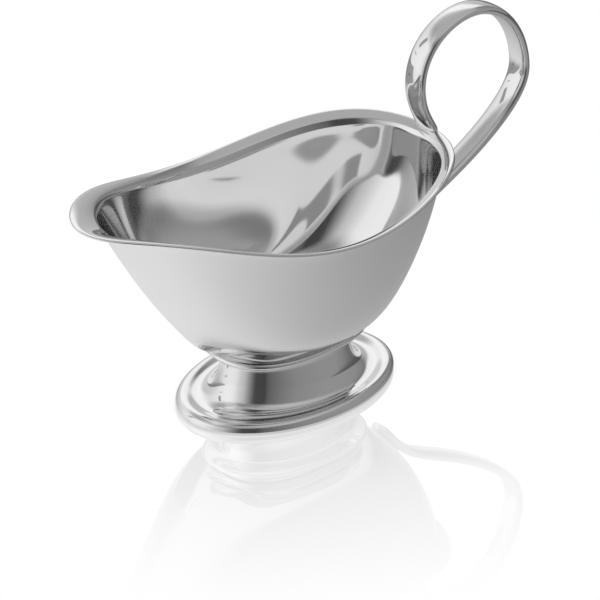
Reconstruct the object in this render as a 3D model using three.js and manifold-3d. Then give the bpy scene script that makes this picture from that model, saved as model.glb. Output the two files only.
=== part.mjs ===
// Sauce boat in polished stainless steel: a boat-shaped bowl with an everted rim and a pouring
// lip, a waisted oval foot pressed from sheet, and a flat bar handle bent to an open scroll.
// Millimetres, +Z up. The spout points to -X and the handle to +X. The origin is on the table in the
// middle of the whole length. The sizes count from the middle of the foot, and an angle around the
// boat is 0 at the handle and half a turn at the spout.

import * as THREE from "three";
import { mergeVertices } from "three/addons/utils/BufferGeometryUtils.js";
import Module from "manifold-3d";

const wasm = await Module();
wasm.setup();

// Sheet and joints
const sheet = 1.0;
const clearance = 0.3;
const weldThickness = 0.8;

// Bowl: the flat bottom, and the rim's outer edge seen from above
const bottomHeight = 26.9;
const bottomShift = 0.1;
const bottomHalfLength = 31.7;
const bottomHalfWidth = 17.3;
const rimShift = -12.2;
const rimHalfLength = 81.1;
const rimHalfWidth = 43.2;
const rimFullnessAtBack = 0.18;
const rimSquareness = 0.045;

// Bowl: the rim's height above the bottom, and how its sweep leans and dips between
const rimRise = { spout: 67.8, side: 49.0, back: 53.0 };
const rimLean = 2.6;
const rimDip = -15.4;

// Bowl: the everted lip, and the wider one that pours
const lipWidth = 4.3;
const lipRise = 1.9;
const pouringLipWidth = 12.8;
const pouringLipRise = 5.8;
const pouringLipSharpness = 12;

// Bowl: the wall's section, at the spout, at the sides and at the back
const bottomFillet = 14.8;
const startSlope = { spout: 32.5, side: 4.7, back: 8.6 };
const startReach = { spout: 0.13, side: 0.5, back: 0.03 };
const topLean = { spout: 27.4, side: 31.5, back: 1.4 };
const topReach = { spout: 0.23, side: 0.87, back: 0.44 };

// Foot: the outline on the table and its turned edge, with how far its curve is pulled out
const footHalfLength = 44.5;
const footHalfWidth = 30.7;
const edgeHeight = 4.2;
const edgeInset = 1.2;
const edgePull = { low: 1.8, high: 1.5 };
const edgeToe = 0.4;
const treadWidth = 1.8;

// Foot: the shallow dish and the flank that sweeps up from it to the waist
const dishInset = 7.5;
const dishDepth = 1.0;
const dishPull = { edge: 1.5, bottom: 3 };
const flankRoot = 3.2;
const waistPull = 7.5;
const waistHalfLength = 26.3;
const waistHalfWidth = 17.1;
const waistDrop = 8.4;

// Foot: the collar that carries the bowl, with the hollow between its edge and the wall
const collarHalfLength = 31.9;
const collarHalfWidth = 22.6;
const collarSquareness = 2.4;
const collarDrop = 4.5;
const collarEdge = 2.1;
const collarShelf = 1.1;
const collarHollow = 3.2;

// Foot: how far the inside of the sheet lies below the outside on the same ring
const innerDrop = 0.75;

// Foot: the solder fillet between it and the bottom of the bowl
const solderWidth = 2.4;
const solderDepth = 2.4;
const solderEdge = 1.0;

// How far a piece that is cut to the bowl reaches above its bottom before the cut
const seatAllowance = 3;

// Handle: the bar and its ends
const barWidth = 9.6;
const barThickness = 3.9;
const barSquareness = 3.2;
const tongueWidth = 11.1;
const tongueLength = 12;
const tipLength = 5;
const tipShare = { width: 0.25, thickness: 0.5 };

// Handle: its bends, measured from the rim's back edge, and the tongue's heading
const lowerJointRise = 8.4;
const armOut = 0.9;
const armDrop = 24.8;
const armSlope = 24;
const gripReach = 43.5;
const gripRise = 9.8;
const crownSetback = 27.2;
const crownRise = 40.8;
const scrollSetback = 7.0;
const scrollRise = 18.4;
const tongueInset = 0.8;
const tongueSink = 0.6;
const tongueHeading = 276;

// Handle: how strongly its line is pulled along the heading before and after each bend
const armPull = { before: 18, after: 14.3 };
const gripPull = { before: 14.5, after: 13.9 };
const crownPull = { before: 16.9, after: 11.8 };
const scrollPull = { before: 14, after: 9.7 };
const jointPull = 9.5;
const tonguePull = 2.3;

// Facets, and the places of the rings along and around each surface
const bowlFacets = 64;
const footFacets = 56;
const barFacets = 20;
const barSteps = 44;
const edgeSteps = 5;
const dishSteps = 3;
const flankSteps = 8;
const filletStops = [0, 0.35, 0.7, 1];
const wallStops = [1.12, 1.25, 1.4, 1.55, 1.7, 1.85, 2];
const lipStop = 2.5;
const rimTurns = [-40, 0, 40];
const tuckTurns = [30, 60];
const collarTurns = [-90, -45, 0, 45, 90];
const hollowTurns = [0, 30, 60, 90];
const tipStops = [0, 0.12, 0.35, 0.65, 1];

const radians = THREE.MathUtils.degToRad;
const mix = THREE.MathUtils.lerp;

// A value that is given at the spout, the sides and the back, at one angle around the boat.
function around(size, angle) {
  const c = Math.cos(angle);
  return size.side + (size.back - size.spout) / 2 * c + ((size.back + size.spout) / 2 - size.side) * c * c;
}

// A point of an oval with half axes a and b. A squareness of 2 is an ellipse.
function oval(a, b, angle, squareness = 2) {
  const c = Math.cos(angle);
  const s = Math.sin(angle);
  const power = 2 / squareness;
  return new THREE.Vector2(a * Math.sign(c) * Math.abs(c) ** power, b * Math.sign(s) * Math.abs(s) ** power);
}

// Skins rings of points, as a lathe does with a profile: place gives the point of one station at
// one angle. The stations run outside first, and close on the axis or on themselves.
function skin(facets, stations, place) {
  const profile = Array.from({ length: stations }, (_, station) => new THREE.Vector2(1, station));
  const geometry = new THREE.LatheGeometry(profile, facets);
  const position = geometry.getAttribute("position");
  for (let index = 0; index < position.count; index += 1) {
    const facet = Math.floor(index / stations) % facets;
    const point = place(2 * Math.PI * facet / facets, index % stations);
    position.setXYZ(index, point.x, point.y, point.z);
  }
  return welded(geometry);
}

// The same surface with shared points, and without the triangles that vanish at a pole.
function welded(geometry) {
  geometry.deleteAttribute("normal");
  geometry.deleteAttribute("uv");
  const shared = mergeVertices(geometry);
  const old = shared.getIndex().array;
  const kept = [];
  for (let corner = 0; corner < old.length; corner += 3) {
    const [a, b, c] = [old[corner], old[corner + 1], old[corner + 2]];
    if (a !== b && b !== c && c !== a) {
      kept.push(a, b, c);
    }
  }
  shared.setIndex(kept);
  return shared;
}

function solidOf(geometry) {
  const vertProperties = new Float32Array(geometry.getAttribute("position").array);
  const triVerts = new Uint32Array(geometry.getIndex().array);
  return new wasm.Manifold(new wasm.Mesh({ numProp: 3, vertProperties, triVerts }));
}

function geometryOf(solid) {
  const mesh = solid.getMesh();
  const geometry = new THREE.BufferGeometry();
  geometry.setAttribute("position", new THREE.BufferAttribute(new Float32Array(mesh.vertProperties), 3));
  geometry.setIndex(Array.from(mesh.triVerts));
  return geometry;
}

// The largest body of a cut, without the offcuts.
function trimmed(solid) {
  return solid.decompose().toSorted((a, b) => b.volume() - a.volume())[0];
}

// The rim's outer edge.
function rimPoint(angle) {
  const c = Math.cos(angle);
  const halfWidth = rimHalfWidth * (1 + rimFullnessAtBack * c + rimSquareness * c ** 4);
  const rise = around(rimRise, angle) + rimLean * (c ** 3 - c) + rimDip * (c ** 4 - c * c);
  return new THREE.Vector3(rimShift + rimHalfLength * c, halfWidth * Math.sin(angle), bottomHeight + rise);
}

// The level direction out of the bowl, square to the rim seen from above.
function rimOutward(angle) {
  const step = 0.001;
  const run = rimPoint(angle + step).sub(rimPoint(angle - step));
  return new THREE.Vector3(run.y, -run.x, 0).normalize();
}

// The lip leaves the wall along this crease, inside the rim and a little lower.
function creasePoint(angle) {
  const pouring = ((1 - Math.cos(angle)) / 2) ** pouringLipSharpness;
  const point = rimPoint(angle).addScaledVector(rimOutward(angle), -mix(lipWidth, pouringLipWidth, pouring));
  point.z -= mix(lipRise, pouringLipRise, pouring);
  return point;
}

// The outside of the bowl. Along it, 0 to 1 is the fillet that leaves the flat bottom, 1 to 2 the
// wall up to the crease and 2 to 3 the lip's underside.
function outside(angle, along) {
  const foot = oval(bottomHalfLength, bottomHalfWidth, angle);
  const start = new THREE.Vector3(bottomShift + foot.x, foot.y, bottomHeight);
  const crease = creasePoint(angle);
  if (along > 2) {
    return crease.lerp(rimPoint(angle), along - 2);
  }
  const out = new THREE.Vector3(crease.x - start.x, crease.y - start.y, 0);
  const reach = out.length();
  const slope = radians(around(startSlope, angle));
  const turned = slope * Math.min(along, 1);
  const section = new THREE.Vector2(bottomFillet * Math.sin(turned), bottomFillet * (1 - Math.cos(turned)));
  if (along > 1) {
    const top = new THREE.Vector2(reach, crease.z - start.z);
    const chord = section.distanceTo(top);
    const lean = radians(around(topLean, angle));
    const leave = chord * around(startReach, angle);
    const arrive = chord * around(topReach, angle);
    const wall = new THREE.CubicBezierCurve(
      section, new THREE.Vector2(section.x + leave * Math.cos(slope), section.y + leave * Math.sin(slope)),
      new THREE.Vector2(top.x - arrive * Math.sin(lean), top.y - arrive * Math.cos(lean)), top);
    section.copy(wall.getPoint(along - 1));
  }
  const point = start.addScaledVector(out.normalize(), section.x);
  point.z += section.y;
  return point;
}

// The outside moved outwards by a distance, or into the sheet where that is negative.
function offset(angle, along, distance) {
  const step = 0.01;
  const here = outside(angle, along);
  const run = outside(angle + step, along).sub(outside(angle - step, along));
  const after = outside(angle, Math.min(along + step, 3)).sub(here).normalize();
  const before = here.clone().sub(outside(angle, Math.max(along - step, 0))).normalize();
  const normal = run.cross(after.add(before)).normalize();
  return here.addScaledVector(normal, distance);
}

// The bowl's wall, grown by a clearance all over. Filled, it is the body that cuts a seat in
// whatever is joined to the bowl.
function bowlSurface(grown, filled) {
  const half = sheet / 2;
  const stops = [...filletStops, ...wallStops, lipStop];
  const outer = stops.map((along) => (angle) => offset(angle, along, grown));
  const inner = stops.toReversed().map((along) => (angle) => offset(angle, along, -sheet - grown));
  const edge = rimTurns.map((turn) => (angle) => {
    const outward = rimOutward(angle);
    const out = (half + grown) * Math.cos(radians(turn)) - half;
    const point = rimPoint(angle).addScaledVector(outward, out);
    point.z += (half + grown) * Math.sin(radians(turn));
    return point;
  });
  const bottom = () => new THREE.Vector3(bottomShift, 0, bottomHeight - grown);
  const floor = () => new THREE.Vector3(bottomShift, 0, bottomHeight + sheet + grown);
  const kept = filled ? inner.slice(0, 3) : inner;
  const rings = [bottom, ...outer, ...edge, ...kept, floor];
  return skin(bowlFacets, rings.length, (angle, station) => rings[station](angle));
}

// The foot's section: how far out from the waist to the outline on the table, and how high.
const waistHeight = bottomHeight - waistDrop;
const spread = footHalfLength - waistHalfLength;

function footPoint(angle, inset, height) {
  const share = 1 - inset / spread;
  const a = mix(waistHalfLength, footHalfLength, share);
  const b = mix(waistHalfWidth, footHalfWidth, share);
  const point = oval(a, b, angle);
  return new THREE.Vector3(point.x, point.y, height);
}

function collarPoint(angle, inset, height) {
  const point = oval(collarHalfLength - inset, collarHalfWidth - inset, angle, collarSquareness);
  return new THREE.Vector3(point.x, point.y, height);
}

// A curve in the foot's section, from inset and height to inset and height, with its two pulls.
function sectionCurve(from, leaving, arriving, to) {
  const points = [from, leaving, arriving, to].map(([inset, height]) => new THREE.Vector2(inset, height));
  return new THREE.CubicBezierCurve(...points);
}

function footSurface() {
  const dishHeight = edgeHeight - dishDepth;
  const edge = sectionCurve(
    [edgeInset, 0], [edgeInset - edgePull.low, edgeToe],
    [edgeInset - edgePull.high, edgeHeight], [edgeInset, edgeHeight]).getPoints(edgeSteps);
  const dish = sectionCurve(
    [edgeInset, edgeHeight], [edgeInset + dishPull.edge, edgeHeight],
    [dishInset - dishPull.bottom, dishHeight], [dishInset, dishHeight]).getPoints(dishSteps).slice(1);
  const flank = sectionCurve(
    [dishInset, dishHeight], [spread - flankRoot, dishHeight],
    [spread, waistHeight - waistPull], [spread, waistHeight]).getPoints(flankSteps).slice(1);
  const collarHeight = bottomHeight - collarDrop;
  const nose = collarEdge / 2;
  const rings = [];
  for (const point of [...edge, ...dish, ...flank]) {
    rings.push((angle) => footPoint(angle, point.x, point.y));
  }
  // Under the collar the waist turns out to its edge.
  for (const turn of tuckTurns) {
    rings.push((angle) => {
      const from = footPoint(angle, spread, waistHeight);
      const to = collarPoint(angle, nose, collarHeight - nose);
      const height = mix(from.z, to.z, Math.sin(radians(turn)));
      return from.lerp(to, 1 - Math.cos(radians(turn))).setZ(height);
    });
  }
  for (const turn of collarTurns) {
    const out = nose * (1 - Math.cos(radians(turn)));
    const up = nose * Math.sin(radians(turn));
    rings.push((angle) => collarPoint(angle, out, collarHeight + up));
  }
  // The collar's top turns up in a hollow to the bowl, and the seat is cut into it.
  for (const turn of hollowTurns) {
    const inset = collarShelf + collarHollow * Math.sin(radians(turn));
    const height = collarHeight + nose + collarHollow * (1 - Math.cos(radians(turn)));
    rings.push((angle) => collarPoint(angle, inset, height));
  }
  rings.push((angle) => collarPoint(angle, collarShelf + collarHollow, bottomHeight + seatAllowance));
  // Inside, the sheet follows the outside down to the tread.
  rings.push((angle) => footPoint(angle, spread + sheet, bottomHeight + seatAllowance));
  for (const point of [...flank.toReversed(), dish.at(-1)]) {
    const inset = Math.min(point.x, spread) + sheet;
    rings.push((angle) => footPoint(angle, inset, point.y - sheet * innerDrop));
  }
  rings.push((angle) => footPoint(angle, edgeInset + treadWidth, edgeHeight - sheet));
  rings.push((angle) => footPoint(angle, edgeInset + treadWidth, 0));
  rings.push(rings[0]);
  return skin(footFacets, rings.length, (angle, station) => rings[station](angle));
}

function solderSurface() {
  const top = bottomHeight + seatAllowance;
  const low = bottomHeight - solderDepth - clearance;
  const outer = spread + sheet + clearance;
  const inner = outer + solderWidth;
  const corners = [[outer, low], [outer, top], [inner, top], [inner, bottomHeight - solderEdge]];
  const rings = corners.map(([inset, height]) => (angle) => footPoint(angle, inset, height));
  rings.push(rings[0]);
  return skin(footFacets, rings.length, (angle, station) => rings[station](angle));
}

// The handle's middle line, as bends with a heading and a pull before and after each.
function handleLine() {
  const back = rimPoint(0);
  const joint = backWallAt(bottomHeight + lowerJointRise);
  const crown = back.x + gripReach - crownSetback;
  const bends = [
    { x: joint.x, z: joint.z, heading: joint.heading, after: jointPull },
    { x: back.x + armOut, z: back.z - armDrop, heading: armSlope, ...armPull },
    { x: back.x + gripReach, z: back.z + gripRise, heading: 90, ...gripPull },
    { x: crown, z: back.z + crownRise, heading: 180, ...crownPull },
    { x: back.x - scrollSetback, z: back.z + scrollRise, heading: 270, ...scrollPull },
    { x: back.x - tongueInset, z: back.z - tongueSink, heading: tongueHeading, before: tonguePull },
  ];
  const line = new THREE.CurvePath();
  for (let index = 1; index < bends.length; index += 1) {
    const [from, to] = [bends[index - 1], bends[index]];
    const leaving = pull(from, from.after);
    const arriving = pull(to, -to.before);
    line.add(new THREE.CubicBezierCurve3(
      new THREE.Vector3(from.x, 0, from.z), leaving, arriving, new THREE.Vector3(to.x, 0, to.z)));
  }
  return line;
}

function pull(bend, length) {
  const heading = radians(bend.heading);
  return new THREE.Vector3(bend.x + length * Math.cos(heading), 0, bend.z + length * Math.sin(heading));
}

// Where the bar lies against the back of the bowl: its middle line and the wall's slope there.
function backWallAt(height) {
  let [low, high] = [0, 2];
  for (let pass = 0; pass < 40; pass += 1) {
    const middle = (low + high) / 2;
    if (outside(0, middle).z < height) {
      low = middle;
    } else {
      high = middle;
    }
  }
  const point = offset(0, low, barThickness / 2);
  const run = outside(0, low + 0.01).sub(outside(0, low - 0.01));
  return { x: point.x, z: point.z, heading: THREE.MathUtils.radToDeg(Math.atan2(run.z, run.x)) };
}

function handleSurface() {
  const line = handleLine();
  const length = line.getLength();
  const rings = [];
  const stops = tipStops.map((share) => share * tipLength);
  for (let step = 1; step <= barSteps; step += 1) {
    stops.push(mix(tipLength, length, step / barSteps));
  }
  for (const stop of stops) {
    const middle = line.getPoint(stop / length);
    const heading = line.getTangent(stop / length);
    const across = new THREE.Vector3(-heading.z, 0, heading.x);
    const tip = Math.min(stop / tipLength, 1);
    const round = Math.sqrt(1 - (1 - tip) ** 2);
    const flare = Math.max(0, 1 - (length - stop) / tongueLength) ** 2;
    const width = mix(barWidth, tongueWidth, flare) * mix(tipShare.width, 1, round);
    rings.push({ middle, across, width, thickness: barThickness * mix(tipShare.thickness, 1, round) });
  }
  const place = (angle, station) => {
    const ring = rings[Math.min(Math.max(station - 1, 0), rings.length - 1)];
    const point = ring.middle.clone();
    if (station > 0 && station <= rings.length) {
      const section = oval(ring.thickness / 2, ring.width / 2, -angle, barSquareness);
      point.addScaledVector(ring.across, section.x);
      point.y += section.y;
    }
    return point;
  };
  return skin(barFacets, rings.length + 2, place);
}

const steel = { color: 0xd4d4d4, metalness: 1 };

function piece(name, geometry, roughness) {
  const mesh = new THREE.Mesh(geometry, new THREE.MeshStandardMaterial({ ...steel, roughness }));
  mesh.name = name;
  return mesh;
}

const seat = solidOf(bowlSurface(clearance, true));
const weldFace = solidOf(bowlSurface(clearance + weldThickness, true));
const handleSeat = solidOf(bowlSurface(2 * clearance + weldThickness, true));
const bar = solidOf(handleSurface());
const welds = bar.intersect(weldFace).subtract(seat).decompose();
const [upperWeld, lowerWeld] = welds.toSorted((a, b) => b.boundingBox().max[2] - a.boundingBox().max[2]);

const boat = new THREE.Group();
boat.add(piece("bowl", bowlSurface(0, false), 0.2));
boat.add(piece("foot", geometryOf(solidOf(footSurface()).subtract(seat)), 0.08));
boat.add(piece("foot_weld", geometryOf(solidOf(solderSurface()).subtract(seat)), 0.35));
boat.add(piece("handle", geometryOf(trimmed(bar.subtract(handleSeat))), 0.06));
boat.add(piece("handle_upper_weld", geometryOf(upperWeld), 0.3));
boat.add(piece("handle_lower_weld", geometryOf(lowerWeld), 0.3));

const front = rimPoint(Math.PI).x;
const back = rimPoint(0).x + gripReach + barThickness / 2;
boat.position.x = -(front + back) / 2;
const sauceBoat = new THREE.Group();
sauceBoat.add(boat);

export default sauceBoat;
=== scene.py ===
"""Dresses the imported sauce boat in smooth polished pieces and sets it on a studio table."""

import logging
import math
from collections.abc import Callable, Sequence
from dataclasses import dataclass, replace
from enum import Enum
from functools import partial

import bmesh
import bpy
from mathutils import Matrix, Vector


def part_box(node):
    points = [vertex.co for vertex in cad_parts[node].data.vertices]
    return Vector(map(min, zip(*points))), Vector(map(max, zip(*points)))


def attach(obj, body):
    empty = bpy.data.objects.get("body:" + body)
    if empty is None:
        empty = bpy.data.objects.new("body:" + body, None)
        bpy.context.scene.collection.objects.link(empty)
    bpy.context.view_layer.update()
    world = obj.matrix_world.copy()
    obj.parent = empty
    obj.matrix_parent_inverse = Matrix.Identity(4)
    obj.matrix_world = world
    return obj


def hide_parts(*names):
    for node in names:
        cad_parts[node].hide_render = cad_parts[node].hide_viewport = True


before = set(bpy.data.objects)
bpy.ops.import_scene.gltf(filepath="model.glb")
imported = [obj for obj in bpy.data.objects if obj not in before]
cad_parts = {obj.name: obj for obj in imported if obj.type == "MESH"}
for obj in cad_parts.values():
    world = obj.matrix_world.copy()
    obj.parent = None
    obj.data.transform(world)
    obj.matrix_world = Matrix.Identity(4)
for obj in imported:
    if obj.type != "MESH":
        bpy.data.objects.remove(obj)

log = logging.getLogger("sauce_boat")

Piece = bpy.types.Object
Material = bpy.types.Material
Socket = bpy.types.NodeSocket
Ring = Callable[[float], Vector]
Pair = tuple[float, float]
Numbers = tuple[float, ...]
Stops = tuple[Pair, ...]
INNER = "inner"
MM = 0.001
WHITE = (1.0, 1.0, 1.0, 1.0)
# The step of an angle or a place over which a slope is measured
SMALL_STEP = 0.01
# How often the range is halved where a height is searched for
HALVINGS = 40
# Nearly all values of a noise texture lie between these two
NOISE = (0.3, 0.7)


class Slot(Enum):
    """The record's material slots."""

    SATIN = "satin_steel"
    POLISHED = "polished_steel"
    WELD = "weld_steel"


@dataclass(frozen=True)
class ThreeWay:
    """A size that is given at the spout, the sides and the back of the boat."""

    spout: float
    side: float
    back: float

    def at(self, angle: float) -> float:
        """Blends the three sizes at one angle round the boat.

        Args:
            angle: 0 at the handle, pi at the spout.

        Returns:
            The size at that angle.
        """
        c = math.cos(angle)
        ends = (self.back + self.spout) / 2
        return self.side + (self.back - self.spout) / 2 * c + (ends - self.side) * c * c


def mix(low: float, high: float, share: float) -> float:
    """Returns the value that lies a share of the way from low to high."""
    return low + (high - low) * share


def shares(count: int) -> list[float]:
    """Returns the ends of equal steps from 0 to 1."""
    return [step / count for step in range(1, count + 1)]


def turned(degrees: Numbers) -> list[float]:
    """Returns angles in radians."""
    return [math.radians(angle) for angle in degrees]


def sines(degrees: Numbers) -> Numbers:
    """Returns the sines of angles."""
    return tuple(math.sin(angle) for angle in turned(degrees))


def share_of_turn(azimuth: float) -> float:
    """Returns an azimuth from -180 to 180 degrees as a share from 0 to 1."""
    return azimuth / 360 + 0.5


def level_direction(azimuth: float) -> Vector:
    """Returns the level direction at an azimuth in degrees, which turns from Y towards X."""
    turn = math.radians(azimuth)
    return Vector((math.sin(turn), math.cos(turn), 0))


def rising_direction(slope: float) -> Vector:
    """Returns the direction in the plane of symmetry that rises from X by a slope in degrees."""
    turn = math.radians(slope)
    return Vector((math.cos(turn), 0, math.sin(turn)))


def arc(radius: float, turn: float) -> Pair:
    """Returns how far an arc runs on from its start and how far it turns aside."""
    return radius * math.sin(turn), radius * (1 - math.cos(turn))


def oval(half_length: float, half_width: float, angle: float, squareness: float = 2.0) -> Vector:
    """Gives a point of an oval round the origin.

    Args:
        half_length: Half axis along x.
        half_width: Half axis along y.
        angle: The oval's parameter, in radians.
        squareness: 2 is an ellipse, more is fuller at the corners.

    Returns:
        The point, at height 0.
    """
    c, s = math.cos(angle), math.sin(angle)
    power = 2 / squareness
    x = math.copysign(abs(c) ** power, c) * half_length
    y = math.copysign(abs(s) ** power, s) * half_width
    return Vector((x, y, 0))


def cubic(corners: Sequence[Vector], share: float) -> Vector:
    """Gives a point of a cubic Bezier curve.

    Args:
        corners: Its four corners.
        share: The curve's parameter, from 0 to 1.

    Returns:
        The point.
    """
    a, b, c, d = corners
    ab, bc, cd = a.lerp(b, share), b.lerp(c, share), c.lerp(d, share)
    return ab.lerp(bc, share).lerp(bc.lerp(cd, share), share)


@dataclass(frozen=True)
class Loft:
    """A skin through rings of points, extruded ring by ring from a circle.

    The mesh gets a UV map whose u runs round the rings and whose v counts them.
    """

    name: str
    facets: int
    rings: Sequence[Ring]
    joined: bool = False
    levels: int = 2
    inner_from: float = math.inf
    doubles: float = 0.001 * MM

    def build(self) -> Piece:
        """Makes the piece.

        Returns:
            The finished object, at the origin, unturned and unscaled.
        """
        bpy.ops.object.select_all(action="DESELECT")
        bpy.ops.mesh.primitive_circle_add(vertices=self.facets, radius=MM, fill_type="NOTHING")
        piece = bpy.context.active_object
        piece.name = self.name
        piece.data.name = self.name
        piece.data.attributes.new("facet", "INT", "POINT").data.foreach_set("value", range(self.facets))
        piece.data.attributes.new("station", "INT", "POINT")
        bpy.ops.object.mode_set(mode="EDIT")
        bpy.ops.mesh.select_all(action="SELECT")
        self._place(piece, 0)
        for station in range(1, len(self.rings)):
            bpy.ops.mesh.extrude_region_move()
            self._place(piece, station)
        if not self.joined:
            bpy.ops.mesh.edge_face_add()
            bpy.ops.mesh.select_all(action="DESELECT")
            bpy.ops.mesh.select_non_manifold()
            bpy.ops.mesh.edge_face_add()
        bpy.ops.mesh.select_all(action="SELECT")
        if self.joined:
            bpy.ops.mesh.remove_doubles(threshold=self.doubles)
        bpy.ops.mesh.normals_make_consistent(inside=False)
        self._chart(piece)
        bpy.ops.object.mode_set(mode="OBJECT")
        self._smooth(piece)
        return piece

    def _place(self, piece: Piece, station: int) -> None:
        """Moves the selected ring to its place.

        Args:
            piece: The object in edit mode.
            station: The ring's number.
        """
        mesh = bmesh.from_edit_mesh(piece.data)
        facet = mesh.verts.layers.int["facet"]
        row = mesh.verts.layers.int["station"]
        ring = self.rings[station]
        for point in mesh.verts:
            if point.select:
                point[row] = station
                point.co = ring(2 * math.pi * point[facet] / self.facets)
        bmesh.update_edit_mesh(piece.data)

    def _chart(self, piece: Piece) -> None:
        """Writes the UV map from the ring numbers, and marks the rings from inner_from on with 1.

        Args:
            piece: The object in edit mode.
        """
        mesh = bmesh.from_edit_mesh(piece.data)
        inner = mesh.verts.layers.float.new(INNER)
        facet = mesh.verts.layers.int["facet"]
        row = mesh.verts.layers.int["station"]
        chart = mesh.loops.layers.uv.new("rings")
        for point in mesh.verts:
            point[inner] = float(point[row] >= self.inner_from)
        for face in mesh.faces:
            numbers = [corner.vert[facet] for corner in face.loops]
            is_cap = len(numbers) > 4
            wraps = not is_cap and max(numbers) - min(numbers) > self.facets / 2
            for corner in face.loops:
                number = corner.vert[facet]
                if wraps and number < self.facets / 2:
                    number += self.facets
                corner[chart].uv = (number / self.facets, corner.vert[row] / len(self.rings))
        bmesh.update_edit_mesh(piece.data)

    def _smooth(self, piece: Piece) -> None:
        """Subdivides the skin and applies it.

        Args:
            piece: The object, in object mode.
        """
        modifier = piece.modifiers.new("smooth", "SUBSURF")
        modifier.levels = self.levels
        modifier.render_levels = self.levels
        bpy.ops.object.modifier_apply(modifier=modifier.name)
        for name in ("facet", "station"):
            piece.data.attributes.remove(piece.data.attributes[name])
        bpy.ops.object.shade_smooth()


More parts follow.
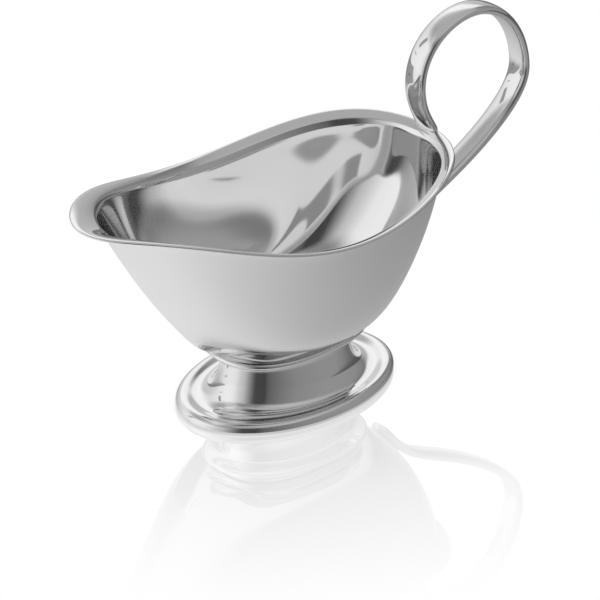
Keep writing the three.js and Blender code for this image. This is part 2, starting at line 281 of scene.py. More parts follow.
@dataclass(frozen=True)
class BowlForm:
    """The bowl's outside as a rule: a point for each angle round the boat and each place up it.

    An angle is 0 at the handle and pi at the spout. Along is 0 to 1 on the fillet that leaves the
    flat bottom, 1 to 2 on the wall and 2 to 3 on the lip.
    """

    low: Vector
    high: Vector
    foot_middle: float
    sheet: float = 1.0 * MM
    bottom_shift: float = 0.1 * MM
    bottom_half_length: float = 31.7 * MM
    bottom_half_width: float = 17.3 * MM
    rim_half_width: float = 43.2 * MM
    rim_fullness_at_back: float = 0.18
    rim_squareness: float = 0.045
    rim_rise: ThreeWay = ThreeWay(67.8 * MM, 49.0 * MM, 53.0 * MM)
    rim_lean: float = 2.6 * MM
    rim_dip: float = -15.4 * MM
    rim_step: float = 0.001
    lip_width: float = 4.3 * MM
    lip_rise: float = 1.9 * MM
    lip_crown: float = 0.25 * MM
    pouring_lip_width: float = 12.8 * MM
    pouring_lip_rise: float = 5.8 * MM
    pouring_lip_crown: float = 0.7 * MM
    pouring_lip_sharpness: float = 12.0
    bottom_fillet: float = 15.4 * MM
    start_slope: ThreeWay = ThreeWay(34.9, 4.8, 9.6)
    start_reach: ThreeWay = ThreeWay(0.106, 0.412, 0.03)
    top_lean: ThreeWay = ThreeWay(28.2, 19.4, 4.5)
    top_reach: ThreeWay = ThreeWay(0.211, 0.92, 0.415)

    @classmethod
    def from_frame(cls) -> "BowlForm":
        """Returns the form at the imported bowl's place and length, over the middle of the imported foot."""
        (low, high), (foot_low, foot_high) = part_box("bowl"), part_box("foot")
        return cls(low, high, (foot_low.x + foot_high.x) / 2)

    def rim_point(self, angle: float) -> Vector:
        """Gives a point of the rim's outer edge.

        Args:
            angle: The angle round the boat.

        Returns:
            The point, in the row frame.
        """
        c = math.cos(angle)
        fullness = 1 + self.rim_fullness_at_back * c + self.rim_squareness * c**4
        lean = self.rim_lean * (c**3 - c) + self.rim_dip * (c**4 - c * c)
        return Vector((
            mix(self.low.x, self.high.x, (1 + c) / 2),
            self.rim_half_width * fullness * math.sin(angle),
            self.low.z + self.rim_rise.at(angle) + lean,
        ))

    def rim_outward(self, angle: float) -> Vector:
        """Returns the level direction out of the bowl, square to the rim seen from above."""
        run = self.rim_point(angle + self.rim_step) - self.rim_point(angle - self.rim_step)
        return Vector((run.y, -run.x, 0)).normalized()

    def pouring(self, angle: float) -> float:
        """Returns how far the lip is the pouring one, from 0 to 1."""
        return ((1 - math.cos(angle)) / 2) ** self.pouring_lip_sharpness

    def crease_point(self, angle: float) -> Vector:
        """Gives the point where the lip leaves the wall.

        Args:
            angle: The angle round the boat.

        Returns:
            The point, inside the rim and a little lower.
        """
        share = self.pouring(angle)
        width = mix(self.lip_width, self.pouring_lip_width, share)
        point = self.rim_point(angle) - self.rim_outward(angle) * width
        point.z -= mix(self.lip_rise, self.pouring_lip_rise, share)
        return point

    def outside(self, angle: float, along: float) -> Vector:
        """Gives a point of the bowl's outside.

        Args:
            angle: The angle round the boat.
            along: The place from the bottom, 0, to the rim, 3.

        Returns:
            The point, in the row frame.
        """
        start = oval(self.bottom_half_length, self.bottom_half_width, angle)
        start += Vector((self.foot_middle + self.bottom_shift, 0, self.low.z))
        crease = self.crease_point(angle)
        if along > 2:
            share = along - 2
            point = crease.lerp(self.rim_point(angle), share)
            crown = mix(self.lip_crown, self.pouring_lip_crown, self.pouring(angle))
            point.z += crown * (1 - (2 * share - 1) ** 2)
            return point
        out = Vector((crease.x - start.x, crease.y - start.y, 0))
        slope = math.radians(self.start_slope.at(angle))
        level, rise = arc(self.bottom_fillet, slope * min(along, 1))
        if along > 1:
            top = Vector((out.length, crease.z - start.z))
            level, rise = self._wall(angle, along - 1, Vector((level, rise)), top)
        return start + out.normalized() * level + Vector((0, 0, rise))

    def _wall(self, angle: float, share: float, low: Vector, top: Vector) -> Vector:
        """Gives a point of the wall's section.

        Args:
            angle: The angle round the boat.
            share: 0 where the fillet ends, 1 at the crease.
            low: The fillet's end, out and up.
            top: The crease, out and up.

        Returns:
            How far out and how far up the point is.
        """
        chord = (top - low).length
        slope = math.radians(self.start_slope.at(angle))
        lean = math.radians(self.top_lean.at(angle))
        leaving = Vector((math.cos(slope), math.sin(slope))) * chord * self.start_reach.at(angle)
        arriving = Vector((math.sin(lean), math.cos(lean))) * chord * self.top_reach.at(angle)
        return cubic((low, low + leaving, top - arriving, top), share)

    def offset(self, angle: float, along: float, distance: float) -> Vector:
        """Gives a point of the outside moved outwards.

        Args:
            angle: The angle round the boat.
            along: The place from the bottom, 0, to the rim, 3.
            distance: How far out, or into the sheet where it is negative.

        Returns:
            The moved point.
        """
        here = self.outside(angle, along)
        run = self.outside(angle + SMALL_STEP, along) - self.outside(angle - SMALL_STEP, along)
        after = (self.outside(angle, min(along + SMALL_STEP, 3)) - here).normalized()
        before = (here - self.outside(angle, max(along - SMALL_STEP, 0))).normalized()
        return here + run.cross(after + before).normalized() * distance

    def back_wall_at(self, height: float, distance: float) -> tuple[Vector, float]:
        """Finds a place at a height on the middle of the back wall.

        Args:
            height: The height above the table.
            distance: How far off the wall the place is.

        Returns:
            The place, and the wall's slope there in degrees.
        """
        low, high = 0.0, 2.0
        for _ in range(HALVINGS):
            middle = (low + high) / 2
            if self.outside(0, middle).z < height:
                low = middle
            else:
                high = middle
        run = self.outside(0, low + SMALL_STEP) - self.outside(0, low - SMALL_STEP)
        return self.offset(0, low, distance), math.degrees(math.atan2(run.z, run.x))


class Nodes:
    """A node tree that is written down step by step."""

    def __init__(self, tree: bpy.types.NodeTree) -> None:
        """Empties the tree that it writes to."""
        self.tree = tree
        tree.nodes.clear()

    def add(self, kind: str, inputs: dict | None = None, **settings: object) -> bpy.types.Node:
        """Adds a node.

        Args:
            kind: The node's type, such as ShaderNodeMath.
            inputs: What goes into its sockets, by name or number: a socket is linked, a value is set,
                and None leaves the socket as it is.
            settings: Its own properties.

        Returns:
            The node.
        """
        node = self.tree.nodes.new(kind)
        for name, value in settings.items():
            setattr(node, name, value)
        for name, value in (inputs or {}).items():
            if isinstance(value, Socket):
                self.tree.links.new(value, node.inputs[name])
            elif value is not None:
                node.inputs[name].default_value = value
        return node

    def place(self, kind: str) -> Socket:
        """Returns a texture coordinate, such as Object."""
        return self.add("ShaderNodeTexCoord").outputs[kind]

    def math(self, operation: str, *values: object, clamp: bool = False) -> Socket:
        """Returns what a Math node makes of sockets or numbers, kept within 0 and 1 with clamp."""
        inputs = dict(enumerate(values))
        return self.add("ShaderNodeMath", inputs, operation=operation, use_clamp=clamp).outputs[0]

    def vector(self, operation: str, *values: object) -> Socket:
        """Returns what a Vector Math node makes of its values: a number or a vector."""
        result = "Value" if operation in ("DOT_PRODUCT", "LENGTH") else "Vector"
        return self.add("ShaderNodeVectorMath", dict(enumerate(values)), operation=operation).outputs[result]

    def span(self, value: Socket, limits: Pair, results: Pair = (0.0, 1.0), smooth: bool = True) -> Socket:
        """Turns one range of values into another.

        Args:
            value: What is turned.
            limits: Where the range starts and ends.
            results: What comes out there, and beyond it.
            smooth: Whether the change starts and ends gently.

        Returns:
            The result.
        """
        inputs = {"Value": value, "From Min": limits[0], "From Max": limits[1],
                  "To Min": results[0], "To Max": results[1]}
        kind = "SMOOTHSTEP" if smooth else "LINEAR"
        return self.add("ShaderNodeMapRange", inputs, interpolation_type=kind).outputs["Result"]

    def ramp(self, value: Socket, stops: Sequence[Pair]) -> Socket:
        """Adds a ramp of greys.

        Args:
            value: From 0 to 1.
            stops: Places and the levels there.

        Returns:
            The level.
        """
        node = self.add("ShaderNodeValToRGB", {"Fac": value})
        elements = node.color_ramp.elements
        while len(elements) < len(stops):
            elements.new(0.5)
        for element, (place, level) in zip(elements, stops):
            element.position = place
            element.color = (level, level, level, 1)
        return node.outputs["Color"]

    def noise(self, place: Socket, scale: float, detail: float, roughness: float = 0.5) -> Socket:
        """Returns noise from 0 to 1: detail counts its finer layers, roughness is their strength."""
        inputs = {"Vector": place, "Scale": scale, "Detail": detail, "Roughness": roughness}
        return self.add("ShaderNodeTexNoise", inputs).outputs["Fac"]

    def lines(self, repeats: Pair, detail: float, roughness: float) -> Socket:
        """Returns noise drawn out along a loft's rings, with its repeats round a ring and across them."""
        chart = self.add("ShaderNodeMapping", {"Vector": self.place("UV"), "Scale": (*repeats, 1)}).outputs[0]
        return self.noise(chart, 1.0, detail, roughness)

    def bump(self, height: Socket, depth: float, strength: float, under: Socket | None = None) -> Socket:
        """Returns the surface's direction with a relief, whose height of 1 stands for the depth."""
        inputs = {"Height": height, "Distance": depth, "Strength": strength, "Normal": under}
        return self.add("ShaderNodeBump", inputs).outputs[0]

    def grey(self, level: Socket) -> Socket:
        """Returns a grey colour."""
        return self.add("ShaderNodeCombineColor", {0: level, 1: level, 2: level}).outputs[0]

    def steel(self, tone: Socket, dull: Socket, relief: Socket | None = None, haze: float = 0.0) -> Socket:
        """Returns the shader of a grey metal, with a share of haze over it."""
        inputs = {"Base Color": self.grey(tone), "Roughness": dull, "Normal": relief, "Metallic": 1 - haze}
        return self.add("ShaderNodeBsdfPrincipled", inputs).outputs[0]

    def gloss(self, colour: object, roughness: float) -> Socket:
        """Returns a plain mirror's shader."""
        return self.add("ShaderNodeBsdfGlossy", {"Color": colour, "Roughness": roughness}).outputs[0]

    def glow(self, strength: Socket) -> Socket:
        """Returns the shader of a white that keeps its level whatever the light is."""
        return self.add("ShaderNodeEmission", {"Color": WHITE, "Strength": strength}).outputs[0]

    def cover(self, share: Socket, under: Socket, over: object) -> Socket:
        """Returns one colour laid over another, through the Mix node's colour sockets."""
        return self.add("ShaderNodeMix", {"Factor": share, 6: under, 7: over}, data_type="RGBA").outputs[2]

    def blend(self, share: Socket, first: Socket, second: Socket) -> Socket:
        """Returns a shader that is the first one at a share of 0 and the second one at 1."""
        return self.add("ShaderNodeMixShader", {"Fac": share, 1: first, 2: second}).outputs[0]


@dataclass(frozen=True)
class Finish:
    """A named finish: it writes its nodes, and can be a material of its own."""

    name: str

    def shader(self, nodes: Nodes) -> Socket:
        """Writes the finish's nodes and returns the shader."""
        raise NotImplementedError

    def build(self) -> Material:
        """Makes the material.

        Returns:
            The material.
        """
        material = bpy.data.materials.new(self.name)
        material.use_nodes = True
        nodes = Nodes(material.node_tree)
        nodes.add("ShaderNodeOutputMaterial", {"Surface": self.shader(nodes)})
        return material


@dataclass(frozen=True)
class WhiteTable(Finish):
    """A polished white table.

    The camera sees it as a white glow with a faint painted shadow, the glow dimmed by occlusion near the
    boat, and a shine that fades away from the boat. The boat's steel mirrors it as a glow where it is
    looked at steeply, painted lighter on the left and darker on the right as if lit from the left, and as a
    mirror where flatly.
    """

    middle: Vector
    right: Vector
    behind: Vector
    shine: float = 0.27
    shine_roughness: float = 0.02
    shine_fades: Pair = (0.03, 0.17)
    # Painted shadow: how much the white glow is dimmed next to the boat, and how far that reaches
    shadow: float = 0.3
    shadow_reach: float = 0.02
    shadow_samples: int = 16
    facings: Pair = (0.4, 0.62)
    # Painted light: the glow that the steel mirrors runs from bright on the left to dim on the right
    painted_light_sides: Pair = (-0.06, 0.12)
    painted_light_levels: Pair = (0.84, 0.36)
    mirror_depths: Pair = (0.0, 0.05)
    mirror_levels: Pair = (0.95, 0.36)
    mirror_roughness: float = 0.04

    def shader(self, nodes: Nodes) -> Socket:
        """Writes the table's nodes.

        Args:
            nodes: The tree that gets them.

        Returns:
            The shader.
        """
        offset = nodes.vector("SUBTRACT", nodes.place("Object"), self.middle)
        side = nodes.vector("DOT_PRODUCT", offset, self.right)
        depth = nodes.vector("DOT_PRODUCT", offset, self.behind)
        gain = nodes.span(depth, self.mirror_depths, self.mirror_levels)
        mirror = nodes.gloss(nodes.grey(gain), self.mirror_roughness)
        # Painted light: this glow is brighter on the left and dimmer on the right, as if the table were lit
        # from the left
        pale = nodes.glow(nodes.span(side, self.painted_light_sides, self.painted_light_levels))
        facing = nodes.add("ShaderNodeLayerWeight").outputs["Facing"]
        mirrored = nodes.blend(nodes.span(facing, self.facings), pale, mirror)
        clear = nodes.gloss(WHITE, self.shine_roughness)
        fade = nodes.span(nodes.vector("LENGTH", offset), self.shine_fades, (self.shine, 0.0))
        # Painted shadow: the white glow that the camera sees is dimmed by ambient occlusion near the boat
        occlusion_for_painted_shadow = nodes.add("ShaderNodeAmbientOcclusion", {"Distance": self.shadow_reach},
                            samples=self.shadow_samples).outputs["AO"]
        light = nodes.span(occlusion_for_painted_shadow, (0.0, 1.0), (1 - self.shadow, 1.0), smooth=False)
        seen = nodes.blend(fade, nodes.glow(light), clear)
        path = nodes.add("ShaderNodeLightPath").outputs
        return nodes.blend(path["Is Camera Ray"], mirrored, seen)


@dataclass(frozen=True)
class DarkPart:
    """A small dark thing in the room that the bowl mirrors, with its place and size in degrees."""

    light: float
    azimuth: float
    half_width: float
    foot: float
    top: float
    softness: float = 0.5

    def share(self, nodes: Nodes, place: Socket, height: Socket) -> Socket:
        """Tells which directions the part fills.

        Args:
            nodes: The world's tree.
            place: The direction's azimuth, from 0 to 1.
            height: The direction's height, as a sine.

        Returns:
            1 on the part and 0 off it.
        """
        edges = [(edge - self.softness, edge + self.softness) for edge in (self.foot, self.top)]
        over_foot, over_top = (nodes.span(height, sines(edge)) for edge in edges)
        away = nodes.math("ABSOLUTE", nodes.math("SUBTRACT", place, share_of_turn(self.azimuth)))
        side = ((self.half_width - self.softness) / 360, (self.half_width + self.softness) / 360)
        beside = nodes.span(away, side, (1.0, 0.0))
        return nodes.math("MULTIPLY", beside, nodes.math("SUBTRACT", over_foot, over_top))


@dataclass(frozen=True)
class Studio:
    """The table, the light and the camera.

    The light of the room is written as stops of azimuth and level: at the horizon, low in the room
    and high up, with a plain ceiling. The front is the same at the horizon and low in the room.
    Azimuth 0 looks from the boat along -Y, and 90 along +X. Bands of elevation are in degrees.
    """

    middle: Vector
    azimuth: float = 41.613
    elevation: float = 29.103
    distance: float = 3.204
    clip_distances: float = 4.0
    shift_right: float = 5.39 * MM
    shift_up: float = 30.09 * MM
    lens: float = 540.0
    sensor: float = 36.0
    table_size: float = 12.0
    brightest: float = 1.2
    front_light: Stops = (
        (-150, 0.98), (-120, 1.06), (-100, 1.0), (-84, 0.75), (-72, 0.6), (-64, 0.4), (-54, 0.17),
        (-47, 0.055), (-30, 0.045), (-24, 0.12), (-12, 0.18), (0, 0.24), (12, 0.29), (40, 0.335),
        (60, 0.335), (84, 0.31), (100, 0.26))
    horizon_light: Stops = (
        (-180, 0.72), (108, 0.22), (120, 0.5), (132, 0.6), (144, 0.8), (168, 0.68), (180, 0.72))
    low_light: Stops = ((-180, 0.85), (110, 0.2), (114, 0.6), (120, 1.05), (150, 1.15), (180, 0.85))
    high_light: Stops = (
        (-180, 0.5), (-160, 0.42), (-140, 0.5), (-120, 0.7), (-98, 0.6), (-84, 0.34), (-70, 0.27),
        (-40, 0.28), (-20, 0.5), (10, 0.6), (60, 0.5), (100, 0.43), (140, 0.55), (180, 0.5))
    ceiling_light: float = 0.48
    low_band: Pair = (17.0, 27.0)
    high_band: Pair = (37.0, 50.0)
    ceiling_band: Pair = (51.0, 64.0)
    stand: DarkPart = DarkPart(light=0.4, azimuth=-142.5, half_width=5.0, foot=13.0, top=15.0)
    post: DarkPart = DarkPart(light=0.36, azimuth=-144.2, half_width=4.0, foot=23.7, top=40.0)

    @property
    def right(self) -> Vector:
        """Returns the direction to the picture's right, level with the table."""
        return level_direction(self.azimuth + 90)

    @property
    def behind(self) -> Vector:
        """Returns the level direction away from the camera."""
        return level_direction(self.azimuth)

    def build(self) -> None:
        """Adds everything that isn't the boat."""
        self._camera()
        self._table()
        self._room()
        bpy.context.scene.view_settings.view_transform = "Standard"

    def _camera(self) -> None:
        """Adds the camera at the photograph's angle."""
        tilt = math.radians(self.elevation)
        ahead = self.behind * math.cos(tilt) - Vector((0, 0, math.sin(tilt)))
        up = self.right.cross(ahead)
        place = self.middle - ahead * self.distance + self.right * self.shift_right + up * self.shift_up
        facing = ahead.to_track_quat("-Z", "Y").to_euler()
        bpy.ops.object.camera_add(location=place, rotation=facing)
        camera = bpy.context.active_object
        camera.data.lens = self.lens
        camera.data.sensor_width = self.sensor
        camera.data.clip_end = self.clip_distances * self.distance
        bpy.context.scene.camera = camera

    def _table(self) -> None:
        """Adds the white polished table top."""
        bpy.ops.object.select_all(action="DESELECT")
        bpy.ops.mesh.primitive_plane_add(size=self.table_size, location=(0, 0, 0))
        table = bpy.context.active_object
        table.name = "table_top"
        finish = WhiteTable("white_table", self.middle, self.right, self.behind)
        table.data.materials.append(finish.build())

    def _room(self) -> None:
        """Lights the boat: pale from behind and the left, grey from the right, dark from the camera."""
        world = bpy.data.worlds.new("studio")
        bpy.context.scene.world = world
        world.use_nodes = True
        nodes = Nodes(world.node_tree)
        x, y, z = nodes.add("ShaderNodeSeparateXYZ", {0: nodes.place("Generated")}).outputs
        turn = nodes.math("ARCTAN2", x, nodes.math("MULTIPLY", y, -1.0))
        place = nodes.math("MULTIPLY_ADD", turn, 0.5 / math.pi, 0.5)
        height = nodes.math("ABSOLUTE", z)
        level = self._round(nodes, place, self.front_light + self.horizon_light)
        bands = (
            (self.low_band, self._round(nodes, place, self.front_light + self.low_light)),
            (self.high_band, self._round(nodes, place, self.high_light)),
            (self.ceiling_band, self._grey(self.ceiling_light)))
        for band, light in bands:
            level = nodes.cover(nodes.span(height, sines(band)), level, light)
        for part in (self.stand, self.post):
            level = nodes.cover(part.share(nodes, place, height), level, self._grey(part.light))
        room = nodes.add("ShaderNodeBackground", {"Color": level, "Strength": self.brightest}).outputs[0]
        white = nodes.add("ShaderNodeBackground", {"Color": WHITE, "Strength": 1.0}).outputs[0]
        path = nodes.add("ShaderNodeLightPath").outputs
        plain = nodes.math("MAXIMUM", path["Is Camera Ray"], path["Is Diffuse Ray"])
        nodes.add("ShaderNodeOutputWorld", {"Surface": nodes.blend(plain, room, white)})

    def _round(self, nodes: Nodes, place: Socket, light: Stops) -> Socket:
        """Returns the level round the room, from stops of azimuth and level."""
        stops = [(share_of_turn(azimuth), level / self.brightest) for azimuth, level in sorted(light)]
        return nodes.ramp(place, stops)

    def _grey(self, level: float) -> Numbers:
        """Returns a level as a colour, where white is the brightest one."""
        share = level / self.brightest
        return (share, share, share, 1.0)


@dataclass(frozen=True)
class MirrorSteel(Finish):
    """Buffed stainless steel: a mirror with fine lines left by the wheel and faint waves in the sheet."""

    tones: Pair = (0.776, 0.816)
    roughness: Pair = (0.045, 0.11)
    haze: float = 0.05
    line_repeats: Pair = (3.0, 260.0)
    line_detail: float = 5.0
    line_roughness: float = 0.65
    line_depth: float = 0.01 * MM
    line_strength: float = 0.15
    worn_lines: Pair = (0.45, 0.75)
    smear_scale: float = 55.0
    smear_detail: float = 3.0
    wave_scale: float = 38.0
    wave_detail: float = 1.0
    wave_depth: float = 1.0 * MM
    wave_strength: float = 0.04

    def shader(self, nodes: Nodes) -> Socket:
        """Writes the mirror's nodes.

        Args:
            nodes: The tree that gets them.

        Returns:
            The shader.
        """
        place = nodes.place("Object")
        lines = nodes.lines(self.line_repeats, self.line_detail, self.line_roughness)
        smears = nodes.noise(place, self.smear_scale, self.smear_detail)
        waves = nodes.noise(place, self.wave_scale, self.wave_detail)
        worn = nodes.math("MULTIPLY", nodes.span(lines, self.worn_lines), nodes.span(smears, NOISE))
        roughness = nodes.span(worn, (0.0, 1.0), self.roughness, smooth=False)
        tone = nodes.span(lines, NOISE, self.tones, smooth=False)
        sheet = nodes.bump(waves, self.wave_depth, self.wave_strength)
        scored = nodes.bump(lines, self.line_depth, self.line_strength, sheet)
        return nodes.steel(tone, roughness, scored, self.haze)


@dataclass(frozen=True)
class SatinSteel(Finish):
    """Steel brushed to an even satin, with the short lines of the brush running round the boat."""

    tones: Pair = (0.8471, 0.8729)
    roughness: Pair = (0.3, 0.38)
    line_repeats: Pair = (14.0, 900.0)
    line_detail: float = 4.0
    line_roughness: float = 0.7
    cloud_scale: float = 30.0
    cloud_detail: float = 2.0

    def shader(self, nodes: Nodes) -> Socket:
        """Writes the satin's nodes.

        Args:
            nodes: The tree that gets them.

        Returns:
            The shader.
        """
        lines = nodes.lines(self.line_repeats, self.line_detail, self.line_roughness)
        cloud = nodes.noise(nodes.place("Object"), self.cloud_scale, self.cloud_detail)
        roughness = nodes.span(cloud, NOISE, self.roughness, smooth=False)
        return nodes.steel(nodes.span(lines, NOISE, self.tones, smooth=False), roughness)


@dataclass(frozen=True)
class BowlSteel(Finish):
    """The bowl's two finishes: a mirror inside, on the rim and low down at the collar, satin outside."""

    mirror: MirrorSteel
    satin: SatinSteel
    band_places: Pair = (-45.0 * MM, -20.0 * MM)
    band_heights: Pair = (35.5 * MM, 30.0 * MM)
    band_edge: float = 0.5 * MM

    def shader(self, nodes: Nodes) -> Socket:
        """Writes the nodes of both finishes.

        Args:
            nodes: The tree that gets them.

        Returns:
            The shader.
        """
        x, _, z = nodes.add("ShaderNodeSeparateXYZ", {0: nodes.place("Object")}).outputs
        height = nodes.span(x, self.band_places, self.band_heights, smooth=False)
        above = nodes.span(nodes.math("SUBTRACT", z, height), (-self.band_edge, self.band_edge))
        inner = nodes.add("ShaderNodeAttribute", attribute_name=INNER).outputs["Fac"]
        satin = nodes.math("MULTIPLY", above, nodes.math("SUBTRACT", 1.0, inner, clamp=True))
        return nodes.blend(satin, self.mirror.shader(nodes), self.satin.shader(nodes))


@dataclass(frozen=True)
class WeldSteel(Finish):
    """Joint metal that was dressed with a fine wheel: duller than the sheet, and faintly lumpy."""

    tones: Pair = (0.6624, 0.7488)
    roughness: Pair = (0.16, 0.34)
    lump_scale: float = 700.0
    lump_detail: float = 3.0
    lump_depth: float = 0.2 * MM
    lump_strength: float = 0.12
    speck_scale: float = 2600.0
    speck_detail: float = 2.0

    def shader(self, nodes: Nodes) -> Socket:
        """Writes the joint metal's nodes.

        Args:
            nodes: The tree that gets them.

        Returns:
            The shader.
        """
        place = nodes.place("Object")
        lumps = nodes.noise(place, self.lump_scale, self.lump_detail)
        specks = nodes.noise(place, self.speck_scale, self.speck_detail)
        roughness = nodes.span(specks, NOISE, self.roughness, smooth=False)
        tone = nodes.span(lumps, NOISE, self.tones, smooth=False)
        return nodes.steel(tone, roughness, nodes.bump(lumps, self.lump_depth, self.lump_strength))


def dress(piece: Piece, finish: Material, slot: Slot, node: str) -> None:
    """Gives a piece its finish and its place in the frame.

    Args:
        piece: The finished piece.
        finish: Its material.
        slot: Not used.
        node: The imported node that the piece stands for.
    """
    piece.data.materials.append(finish)
    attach(piece, "root")
    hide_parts(node)
    log.info("%s: %d faces, for %s", piece.name, len(piece.data.polygons), node)


@dataclass
class Bowl:
    """The pressed bowl."""

    form: BowlForm
    facets: int = 80
    cap_share: float = 0.5
    stops: Numbers = (
        0, 0.25, 0.5, 0.75, 1, 1.08, 1.16, 1.25, 1.35, 1.45, 1.55, 1.65, 1.75, 1.85, 1.94, 2,
        2.2, 2.55, 2.9)
    edge_turns: Numbers = (-50, 0, 50)

    def build(self) -> Piece:
        """Makes the bowl's shell.

        Returns:
            The bowl.
        """
        form, half = self.form, self.form.sheet / 2

        def flat(height: float, angle: float) -> Vector:
            """Returns a point of a small ring on the flat bottom."""
            centre = Vector((form.foot_middle + form.bottom_shift, 0, form.low.z))
            return centre.lerp(form.outside(angle, 0), self.cap_share) + Vector((0, 0, height))

        def edge(turn: float, angle: float) -> Vector:
            """Returns a point of the rim's rounded edge."""
            level, rise = half * math.cos(turn) - half, Vector((0, 0, half * math.sin(turn)))
            return form.rim_point(angle) + form.rim_outward(angle) * level + rise

        rings = [partial(flat, 0)]
        rings += [partial(form.offset, along=along, distance=0) for along in self.stops]
        rings += [partial(edge, turn) for turn in turned(self.edge_turns)]
        rings += [partial(form.offset, along=along, distance=-form.sheet) for along in reversed(self.stops)]
        rings += [partial(flat, form.sheet)]
        return Loft("pressed_bowl", self.facets, rings, inner_from=len(self.stops) + 1).build()


@dataclass
class Foot:
    """The pressed foot with its collar."""

    form: BowlForm
    bowl: Piece
    facets: int = 80
    sheet: float = 1.0 * MM
    half_length: float = 44.5 * MM
    half_width: float = 30.7 * MM
    edge_height: float = 4.2 * MM
    edge_inset: float = 1.0 * MM
    edge_belly: float = 1.4 * MM
    crest_inset: float = 3.3 * MM
    tread_width: float = 1.8 * MM
    dish_inset: float = 8.6 * MM
    dish_depth: float = 1.1 * MM
    dish_pull_edge: float = 2.0 * MM
    dish_pull_bottom: float = 2.2 * MM
    flank_root: float = 3.2 * MM
    waist_pull: float = 7.5 * MM
    waist_half_length: float = 26.3 * MM
    waist_half_width: float = 17.1 * MM
    waist_drop: float = 8.4 * MM
    collar_half_length: float = 31.9 * MM
    collar_half_width: float = 22.6 * MM
    collar_squareness: float = 2.4
    collar_drop: float = 4.5 * MM
    collar_edge: float = 2.1 * MM
    collar_shelf: float = 1.1 * MM
    collar_hollow: float = 3.2 * MM
    edge_turns: Numbers = (0, 30, 60, 90, 110, 130, 150, 165, 180)
    tuck_turns: Numbers = (20, 40, 60, 78)
    collar_turns: Numbers = (-90, -60, -25, 10, 45, 75)
    hollow_turns: Numbers = (0, 15, 30, 45, 60, 75, 90)
    dish_steps: int = 5
    flank_steps: int = 10
    inner_steps: int = 8
    inner_sheets_down: float = 0.75

    @property
    def spread(self) -> float:
        """Returns how far the foot spreads beyond its waist."""
        return self.half_length - self.waist_half_length

    def foot_point(self, angle: float, inset: float, height: float) -> Vector:
        """Returns a point of the foot's oval, at an inset from its widest outline and a height."""
        width = mix(self.half_width, self.waist_half_width, inset / self.spread)
        return oval(self.half_length - inset, width, angle) + Vector((self.form.foot_middle, 0, height))

    def foot_ring(self, inset: float, height: float) -> Ring:
        """Returns a ring of the foot's oval."""
        return lambda angle: self.foot_point(angle, inset, height)

    def collar_point(self, angle: float, inset: float, height: float) -> Vector:
        """Returns a point of the collar, at an inset from its edge and a height."""
        length, width = self.collar_half_length - inset, self.collar_half_width - inset
        return oval(length, width, angle, self.collar_squareness) + Vector((self.form.foot_middle, 0, height))

    def edge_point(self, turn: float) -> Vector:
        """Returns the rounded edge's inset and height, from 0 on the table to half a turn on the crest."""
        inset, end = (self.edge_inset, 0) if turn < math.pi / 2 else (self.crest_inset, self.edge_height)
        return Vector((inset * (1 - math.sin(turn)), mix(self.edge_belly, end, abs(math.cos(turn)))))

    def under_bowl(self, point: Vector) -> Vector:
        """Returns a point, or where it stands in the bowl, the place below it on the bowl's underside."""
        found, touched, _, _ = self.bowl.ray_cast(Vector((point.x, point.y, 0)), Vector((0, 0, 1)))
        return touched if found and touched.z < point.z else point

    def build(self) -> Piece:
        """Makes the foot, from its tread over the edge, the dish and the waist to the collar and back inside.

        Returns:
            The foot.
        """
        spread = self.spread
        crest = Vector((self.crest_inset, self.edge_height))
        bottom = Vector((self.dish_inset, self.edge_height - self.dish_depth))
        waist = Vector((spread, self.form.low.z - self.waist_drop))
        dish = (crest, crest + Vector((self.dish_pull_edge, 0)),
                bottom - Vector((self.dish_pull_bottom, 0)), bottom)
        flank = (bottom, Vector((spread - self.flank_root, bottom.y)),
                 waist - Vector((0, self.waist_pull)), waist)
        profile = [self.edge_point(turn) for turn in turned(self.edge_turns)]
        profile += [cubic(dish, share) for share in shares(self.dish_steps)]
        profile += [cubic(flank, share) for share in shares(self.flank_steps)]
        collar_height = self.form.low.z - self.collar_drop
        nose = self.collar_edge / 2

        def tuck(turn: float, angle: float) -> Vector:
            """Gives a point between the waist and the collar's edge.

            Args:
                turn: 0 at the waist, a quarter turn at the edge.
                angle: The angle round the boat.

            Returns:
                The point.
            """
            start = self.foot_point(angle, spread, waist.y)
            end = self.collar_point(angle, nose, collar_height - nose)
            point = start.lerp(end, 1 - math.cos(turn))
            point.z = mix(start.z, end.z, math.sin(turn))
            return point

        def collar(turn: float, angle: float) -> Vector:
            """Returns a point of the collar's rounded edge."""
            rise, inset = arc(nose, turn)
            return self.collar_point(angle, inset, collar_height + rise)

        def hollow(turn: float, angle: float) -> Vector:
            """Returns a point of the hollow that turns up to the bowl."""
            inset, rise = arc(self.collar_hollow, turn)
            return self.under_bowl(
                self.collar_point(angle, self.collar_shelf + inset, collar_height + nose + rise))

        def top(angle: float) -> Vector:
            """Returns a point of the hidden ring under the bowl."""
            inset = spread + self.sheet
            return self.under_bowl(self.foot_point(angle, inset, self.form.low.z + self.sheet))

        rings = [self.foot_ring(point.x, point.y) for point in profile]
        rings += [partial(tuck, turn) for turn in turned(self.tuck_turns)]
        rings += [partial(collar, turn) for turn in turned(self.collar_turns)]
        rings += [partial(hollow, turn) for turn in turned(self.hollow_turns)]
        rings += [top]
        down = self.inner_sheets_down * self.sheet
        inner = [cubic(flank, share) for share in reversed([0.0] + shares(self.inner_steps))]
        rings += [self.foot_ring(min(point.x, spread) + self.sheet, point.y - down) for point in inner]
        rings += [self.foot_ring(self.edge_inset + self.tread_width, self.edge_height - self.sheet)]
        rings += [self.foot_ring(self.edge_inset + self.tread_width, 0), rings[0]]
        return Loft("pressed_foot", self.facets, rings, joined=True).build()


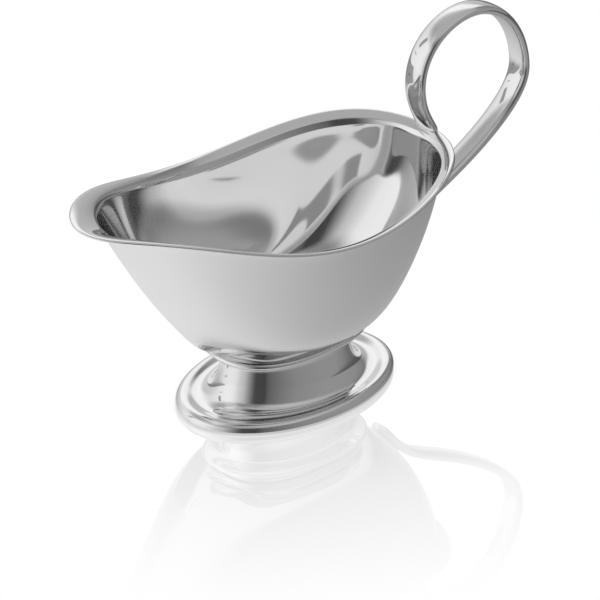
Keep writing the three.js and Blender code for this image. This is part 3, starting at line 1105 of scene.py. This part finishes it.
@dataclass(frozen=True)
class Bend:
    """A bend of the handle: its place, the heading there in degrees, and the pull to each side."""

    x: float
    z: float
    heading: float
    before: float = 0.0
    after: float = 0.0

    def at(self, pull: float) -> Vector:
        """Returns the place a pull along the heading."""
        return Vector((self.x, 0, self.z)) + rising_direction(self.heading) * pull

    def moved(self, place: Vector) -> "Bend":
        """Returns the bend with its place counted from another one."""
        return replace(self, x=place.x + self.x, z=place.z + self.z)


@dataclass(frozen=True)
class Line:
    """A smooth line through bends, known by its length."""

    points: tuple[Vector, ...]

    @classmethod
    def through(cls, bends: Sequence[Bend], steps: int = 60) -> "Line":
        """Draws the line.

        Args:
            bends: The bends, in order.
            steps: How many points each stretch has.

        Returns:
            The line.
        """
        points = [bends[0].at(0)]
        for start, end in zip(bends, bends[1:]):
            corners = (start.at(0), start.at(start.after), end.at(-end.before), end.at(0))
            points += [cubic(corners, share) for share in shares(steps)]
        return cls(tuple(points))

    @property
    def length(self) -> float:
        """Returns the line's length."""
        return sum((b - a).length for a, b in zip(self.points, self.points[1:]))

    def at(self, distance: float) -> tuple[Vector, Vector]:
        """Finds a place on the line.

        Args:
            distance: How far along it is.

        Returns:
            The place, and the direction of the line there.
        """
        left = distance
        for a, b in zip(self.points, self.points[1:]):
            run = b - a
            if left <= run.length:
                return a + run * (left / run.length), run.normalized()
            left -= run.length
        run = self.points[-1] - self.points[-2]
        return self.points[-1].copy(), run.normalized()


@dataclass
class Handle:
    """The flat bar, bent from the back of the bowl to an open scroll on the rim.

    The bends' places are counted from the middle of the rim's back.
    """

    form: BowlForm
    facets: int = 32
    width: float = 9.6 * MM
    thickness: float = 3.9 * MM
    squareness: float = 2.4
    tongue_width: float = 11.1 * MM
    tongue_length: float = 12.0 * MM
    tip_length: float = 5.0 * MM
    tip_width_share: float = 0.25
    tip_thickness_share: float = 0.5
    joint_rise: float = 8.4 * MM
    joint_pull: float = 9.5 * MM
    tip_shares: Numbers = (0.02, 0.12, 0.3, 0.6, 1)
    bar_steps: int = 84
    bends: tuple[Bend, ...] = (
        Bend(0.9 * MM, -24.8 * MM, 24, 18 * MM, 14.3 * MM),
        Bend(43.5 * MM, 9.8 * MM, 90, 14.5 * MM, 13.9 * MM),
        Bend(16.3 * MM, 40.8 * MM, 180, 16.9 * MM, 11.8 * MM),
        Bend(-7.0 * MM, 18.4 * MM, 270, 14 * MM, 9.7 * MM),
        Bend(-0.8 * MM, -0.6 * MM, 276, 2.3 * MM))

    def line(self) -> Line:
        """Draws the bar's middle line.

        Returns:
            The line, from the joint on the bowl's back to the rim.
        """
        rim = self.form.rim_point(0)
        joint, slope = self.form.back_wall_at(self.form.low.z + self.joint_rise, self.thickness / 2)
        start = Bend(joint.x, joint.z, slope, after=self.joint_pull)
        return Line.through([start] + [bend.moved(rim) for bend in self.bends])

    def build(self) -> Piece:
        """Makes the bar.

        Returns:
            The handle.
        """
        line = self.line()
        length = line.length
        stops = [share * self.tip_length for share in self.tip_shares]
        stops += [mix(self.tip_length, length, share) for share in shares(self.bar_steps)]
        rings = [self._ring(line, stop, length) for stop in stops]
        return Loft("scroll_handle", self.facets, rings, levels=1).build()

    def _ring(self, line: Line, stop: float, length: float) -> Ring:
        """Gives the bar's section at one place.

        Args:
            line: The middle line.
            stop: How far along it the section is.
            length: The line's length.

        Returns:
            The section's ring.
        """
        middle, heading = line.at(stop)
        across = Vector((-heading.z, 0, heading.x))
        tip = min(stop / self.tip_length, 1)
        rounded = math.sqrt(1 - (1 - tip) ** 2)
        flare = max(0.0, 1 - (length - stop) / self.tongue_length) ** 2
        width = mix(self.width, self.tongue_width, flare) * mix(self.tip_width_share, 1, rounded)
        thickness = self.thickness * mix(self.tip_thickness_share, 1, rounded)

        def ring(angle: float) -> Vector:
            """Returns a point of the section."""
            point = oval(thickness / 2, width / 2, angle, self.squareness)
            return middle + across * point.x + Vector((0, point.y, 0))
        return ring


@dataclass
class Welds:
    """The joint metal: a ring of solder inside the foot and a bead under each end of the handle.

    A bead's size is half its length, half its width, and how far it stands up on each side.
    """

    form: BowlForm
    foot: Foot
    facets: int = 48
    ring_width: float = 2.4 * MM
    ring_depth: float = 2.5 * MM
    ring_sink: float = 0.1 * MM
    ring_turns: Numbers = (0, 15, 30, 45, 60, 75, 90)
    lower_height: float = 41.3 * MM
    lower_size: Numbers = (8.6 * MM, 5.4 * MM, 0.9 * MM)
    upper_share: float = 0.5
    upper_size: Numbers = (2.2 * MM, 5.6 * MM, 0.6 * MM)
    bead_turns: Numbers = (-85, -65, -40, -20, 0, 20, 40, 65, 85)

    def solder_ring(self) -> Piece:
        """Makes the fillet between the foot's inside and the bowl's bottom.

        Returns:
            The ring.
        """
        foot, top = self.foot, self.form.low.z + self.ring_sink
        start = foot.spread + foot.sheet - self.ring_sink
        rings = []
        for turn in turned(self.ring_turns):
            inset = start + self.ring_width * (1 - math.cos(turn))
            rings.append(foot.foot_ring(inset, top - self.ring_depth * (1 - math.sin(turn))))
        rings += [foot.foot_ring(start + self.ring_width / 2, top), foot.foot_ring(start, top)]
        rings += [foot.foot_ring(start, top - self.ring_depth / 2), rings[0]]
        return Loft("solder_ring", self.facets, rings, joined=True, levels=1).build()

    def lower_bead(self) -> Piece:
        """Returns the bead between the bowl's back and the handle."""
        centre, slope = self.form.back_wall_at(self.lower_height, 0)
        return self._bead("lower_weld_bead", centre, rising_direction(slope), self.lower_size)

    def upper_bead(self) -> Piece:
        """Returns the bead between the lip and the handle's tongue."""
        crease, rim = self.form.crease_point(0), self.form.rim_point(0)
        along = (rim - crease).normalized()
        return self._bead("upper_weld_bead", crease.lerp(rim, self.upper_share), along, self.upper_size)

    def _bead(self, name: str, centre: Vector, along: Vector, size: Numbers) -> Piece:
        """Makes a flat bead with rounded edges.

        Args:
            name: The piece's name.
            centre: Its middle, in the row frame.
            along: The direction of its length, in the plane of symmetry.
            size: Its size.

        Returns:
            The bead.
        """
        half_length, half_width, thickness = size
        across = Vector((-along.z, 0, along.x))

        def place(turn: float, angle: float) -> Vector:
            """Gives a point of the bead.

            Args:
                turn: The rounded edge's turn, 0 where the bead is widest.
                angle: The angle round the bead.

            Returns:
                The point.
            """
            point = oval(half_length * math.cos(turn), half_width * math.cos(turn), angle)
            rise = across * (thickness * math.sin(turn))
            return centre + along * point.x + Vector((0, point.y, 0)) + rise

        rings = [partial(place, turn) for turn in turned(self.bead_turns)]
        return Loft(name, self.facets, rings, levels=1).build()


def main() -> None:
    """Builds the pieces in order."""
    logging.basicConfig(level=logging.INFO, format="%(message)s")
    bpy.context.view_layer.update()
    form = BowlForm.from_frame()
    bowl = Bowl(form).build()
    bowl_steel = BowlSteel("satin_and_mirror_steel", MirrorSteel("bowl_mirror"), SatinSteel("bowl_satin"))
    dress(bowl, bowl_steel.build(), Slot.SATIN, "bowl")
    foot = Foot(form, bowl)
    dress(foot.build(), MirrorSteel("foot_mirror").build(), Slot.POLISHED, "foot")
    dress(Handle(form).build(), MirrorSteel("bar_mirror").build(), Slot.POLISHED, "handle")
    welds = Welds(form, foot)
    joint_metal = WeldSteel("dressed_weld").build()
    dress(welds.solder_ring(), joint_metal, Slot.WELD, "foot_weld")
    dress(welds.upper_bead(), joint_metal, Slot.WELD, "handle_upper_weld")
    dress(welds.lower_bead(), joint_metal, Slot.WELD, "handle_lower_weld")
    Studio(Vector((form.foot_middle, 0, 0))).build()


if __name__ == "__main__":
    main()
